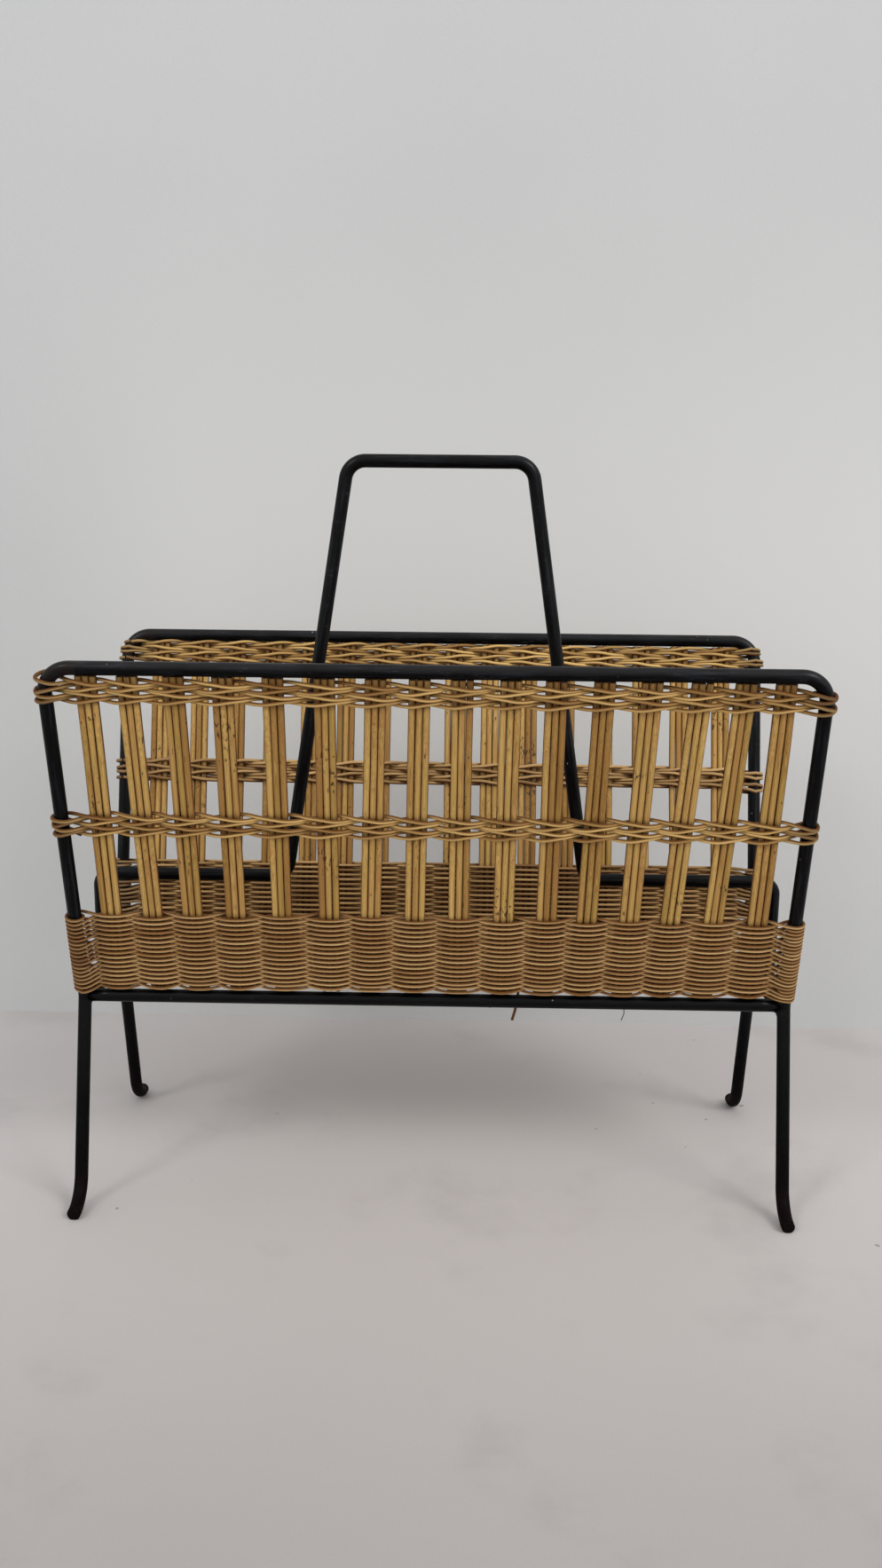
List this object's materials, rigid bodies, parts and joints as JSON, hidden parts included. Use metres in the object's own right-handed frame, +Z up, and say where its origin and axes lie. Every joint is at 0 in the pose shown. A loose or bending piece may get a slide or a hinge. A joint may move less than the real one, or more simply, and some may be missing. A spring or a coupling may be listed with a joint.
{
  "type": "magazine basket",
  "caption": "Free-standing magazine basket: black rod frame on splayed legs, wicker trough with two compartments and a central loop handle.",
  "frame": {"origin": "on the floor, under the middle of the basket", "axes": "X along the basket from its left end to its right end, Y from the front panel to the back panel, Z up"},
  "size_m": [0.4378, 0.2, 0.45],
  "materials": {
    "painted_rod": "black paint on round steel rod, satin, a little worn and rusty at the feet",
    "stake_reed": "round golden rattan reed, dry satin, with fine grain and dark specks",
    "weaver_reed": "thin tan-brown rattan reed, plain woven and twined, duller and darker than the stakes"
  },
  "bodies": {
    "root": {"front_side_rod": "painted_rod", "back_side_rod": "painted_rod", "front_bottom_rail": "painted_rod", "back_bottom_rail": "painted_rod", "left_end_rod": "painted_rod", "right_end_rod": "painted_rod", "handle_divider_rod": "painted_rod", "front_left_weld_bead": "painted_rod", "front_right_weld_bead": "painted_rod", "back_left_weld_bead": "painted_rod", "back_right_weld_bead": "painted_rod", "left_divider_weld_bead": "painted_rod", "right_divider_weld_bead": "painted_rod", "stake_01": "stake_reed", "stake_02": "stake_reed", "stake_03": "stake_reed", "stake_04": "stake_reed", "stake_05": "stake_reed", "stake_06": "stake_reed", "stake_07": "stake_reed", "stake_08": "stake_reed", "stake_09": "stake_reed", "stake_10": "stake_reed", "stake_11": "stake_reed", "stake_12": "stake_reed", "stake_13": "stake_reed", "stake_14": "stake_reed", "stake_15": "stake_reed", "stake_16": "stake_reed", "front_bottom_band": "weaver_reed", "front_middle_band": "weaver_reed", "front_top_band": "weaver_reed", "back_bottom_band": "weaver_reed", "back_middle_band": "weaver_reed", "back_top_band": "weaver_reed", "woven_floor": "weaver_reed"}
  },
  "joints": []
}
